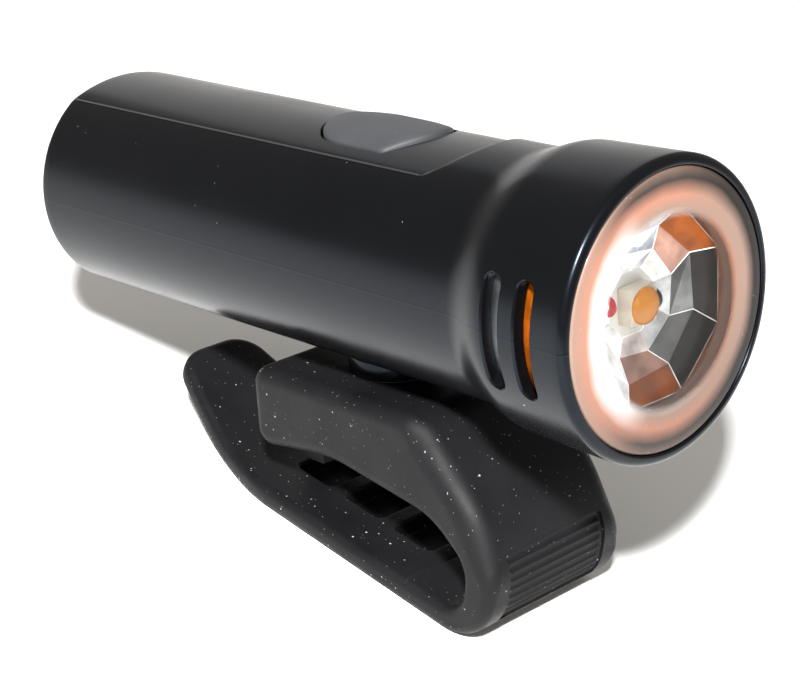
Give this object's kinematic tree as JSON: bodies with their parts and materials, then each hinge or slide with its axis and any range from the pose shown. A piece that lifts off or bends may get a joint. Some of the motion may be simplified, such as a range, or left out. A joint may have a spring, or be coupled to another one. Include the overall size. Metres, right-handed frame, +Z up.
{
  "type": "bike headlight",
  "caption": "Torch-shaped bicycle headlight with a flared head, amber side windows, a soft push button on a recessed deck and a rubber handlebar strap on a swivel mount",
  "frame": {"origin": "middle of the bounding box's underside, on the table that the strap's band lies on", "axes": "+X forwards, the way the lamp shines, +Y to the left, +Z up; the lamp's nose rises 11.2 degrees"},
  "size_m": [0.109, 0.037, 0.0683],
  "materials": {
    "body_plastic": "satin",
    "lens_clear": "clear with a frosted band",
    "amber_clear": "translucent",
    "reflector_chrome": "vacuum metallised",
    "led_orange": "clear resin",
    "board_white": "solder mask",
    "board_green": "solder mask",
    "screw_steel": "zinc plated",
    "wire_red": "insulation",
    "wire_black": "insulation",
    "sink_aluminium": "turned",
    "switch_black": "moulded",
    "switch_white": "moulded",
    "status_clear": "clear resin",
    "button_rubber": "matt grey silicone",
    "cell_sleeve": "shrink sleeve",
    "tab_nickel": "rolled strip",
    "nylon_natural": "moulded",
    "nylon_black": "moulded",
    "link_film": "polyimide film",
    "seal_rubber": "moulded",
    "insert_brass": "knurled",
    "strap_rubber": "matt black",
    "flap_rubber": "matt black"
  },
  "bodies": {
    "mount": {"mount_core": "nylon_black", "strap_base": "strap_rubber", "friction_washer": "nylon_natural", "wave_washer": "screw_steel"},
    "lamp": {"housing": "body_plastic", "lens": "lens_clear", "lens_seal": "seal_rubber", "amber_ring": "amber_clear", "reflector": "reflector_chrome", "led_emitter": "led_orange", "led_board": "board_white", "board_screws": "screw_steel", "led_lead_red": "wire_red", "led_lead_black": "wire_black", "heat_sink": "sink_aluminium", "driver_board": "board_green", "tact_switch": "switch_black", "status_led": "status_clear", "battery_cell": "cell_sleeve", "cell_tab_front": "tab_nickel", "cell_tab_rear": "tab_nickel", "cell_holder_front": "nylon_natural", "cell_holder_rear": "nylon_natural", "board_link": "link_film", "charge_board": "board_green", "charge_port": "tab_nickel", "tail_cap": "body_plastic", "tail_seal": "seal_rubber", "tail_screws": "screw_steel", "threaded_insert": "insert_brass", "pivot_screw": "screw_steel"},
    "band": {"strap_band": "strap_rubber"},
    "button": {"button": "button_rubber"},
    "plunger": {"switch_plunger": "switch_white"},
    "flap": {"port_cover": "flap_rubber"}
  },
  "joints": [
    {"name": "swivel", "type": "hinge", "parent": "mount", "child": "lamp", "pos_m": [0.00786, 0, 0.02381], "axis": [-0.1942, 0, 0.981], "range_deg": [-15, 15]},
    {"name": "strap_bend", "type": "hinge", "parent": "mount", "child": "band", "pos_m": [0.03261, 0, 0.0018], "axis": [0, -1, 0], "range_deg": [0, 70], "stiffness_Nm_per_rad": 0.01},
    {"name": "button_press", "type": "slide", "parent": "lamp", "child": "button", "axis": [0.1942, 0, -0.981], "range_m": [0, 0.0005], "stiffness_N_per_m": 2500},
    {"name": "plunger_press", "type": "slide", "parent": "lamp", "child": "plunger", "axis": [0.1942, 0, -0.981], "range_m": [0, 0.0005]},
    {"name": "flap_hinge", "type": "hinge", "parent": "lamp", "child": "flap", "pos_m": [-0.04923, 0, 0.02433], "axis": [0, -1, 0], "range_deg": [0, 95]}
  ],
  "couplings": [
    {"joint": "plunger_press", "follows": "button_press", "ratio": 1}
  ]
}
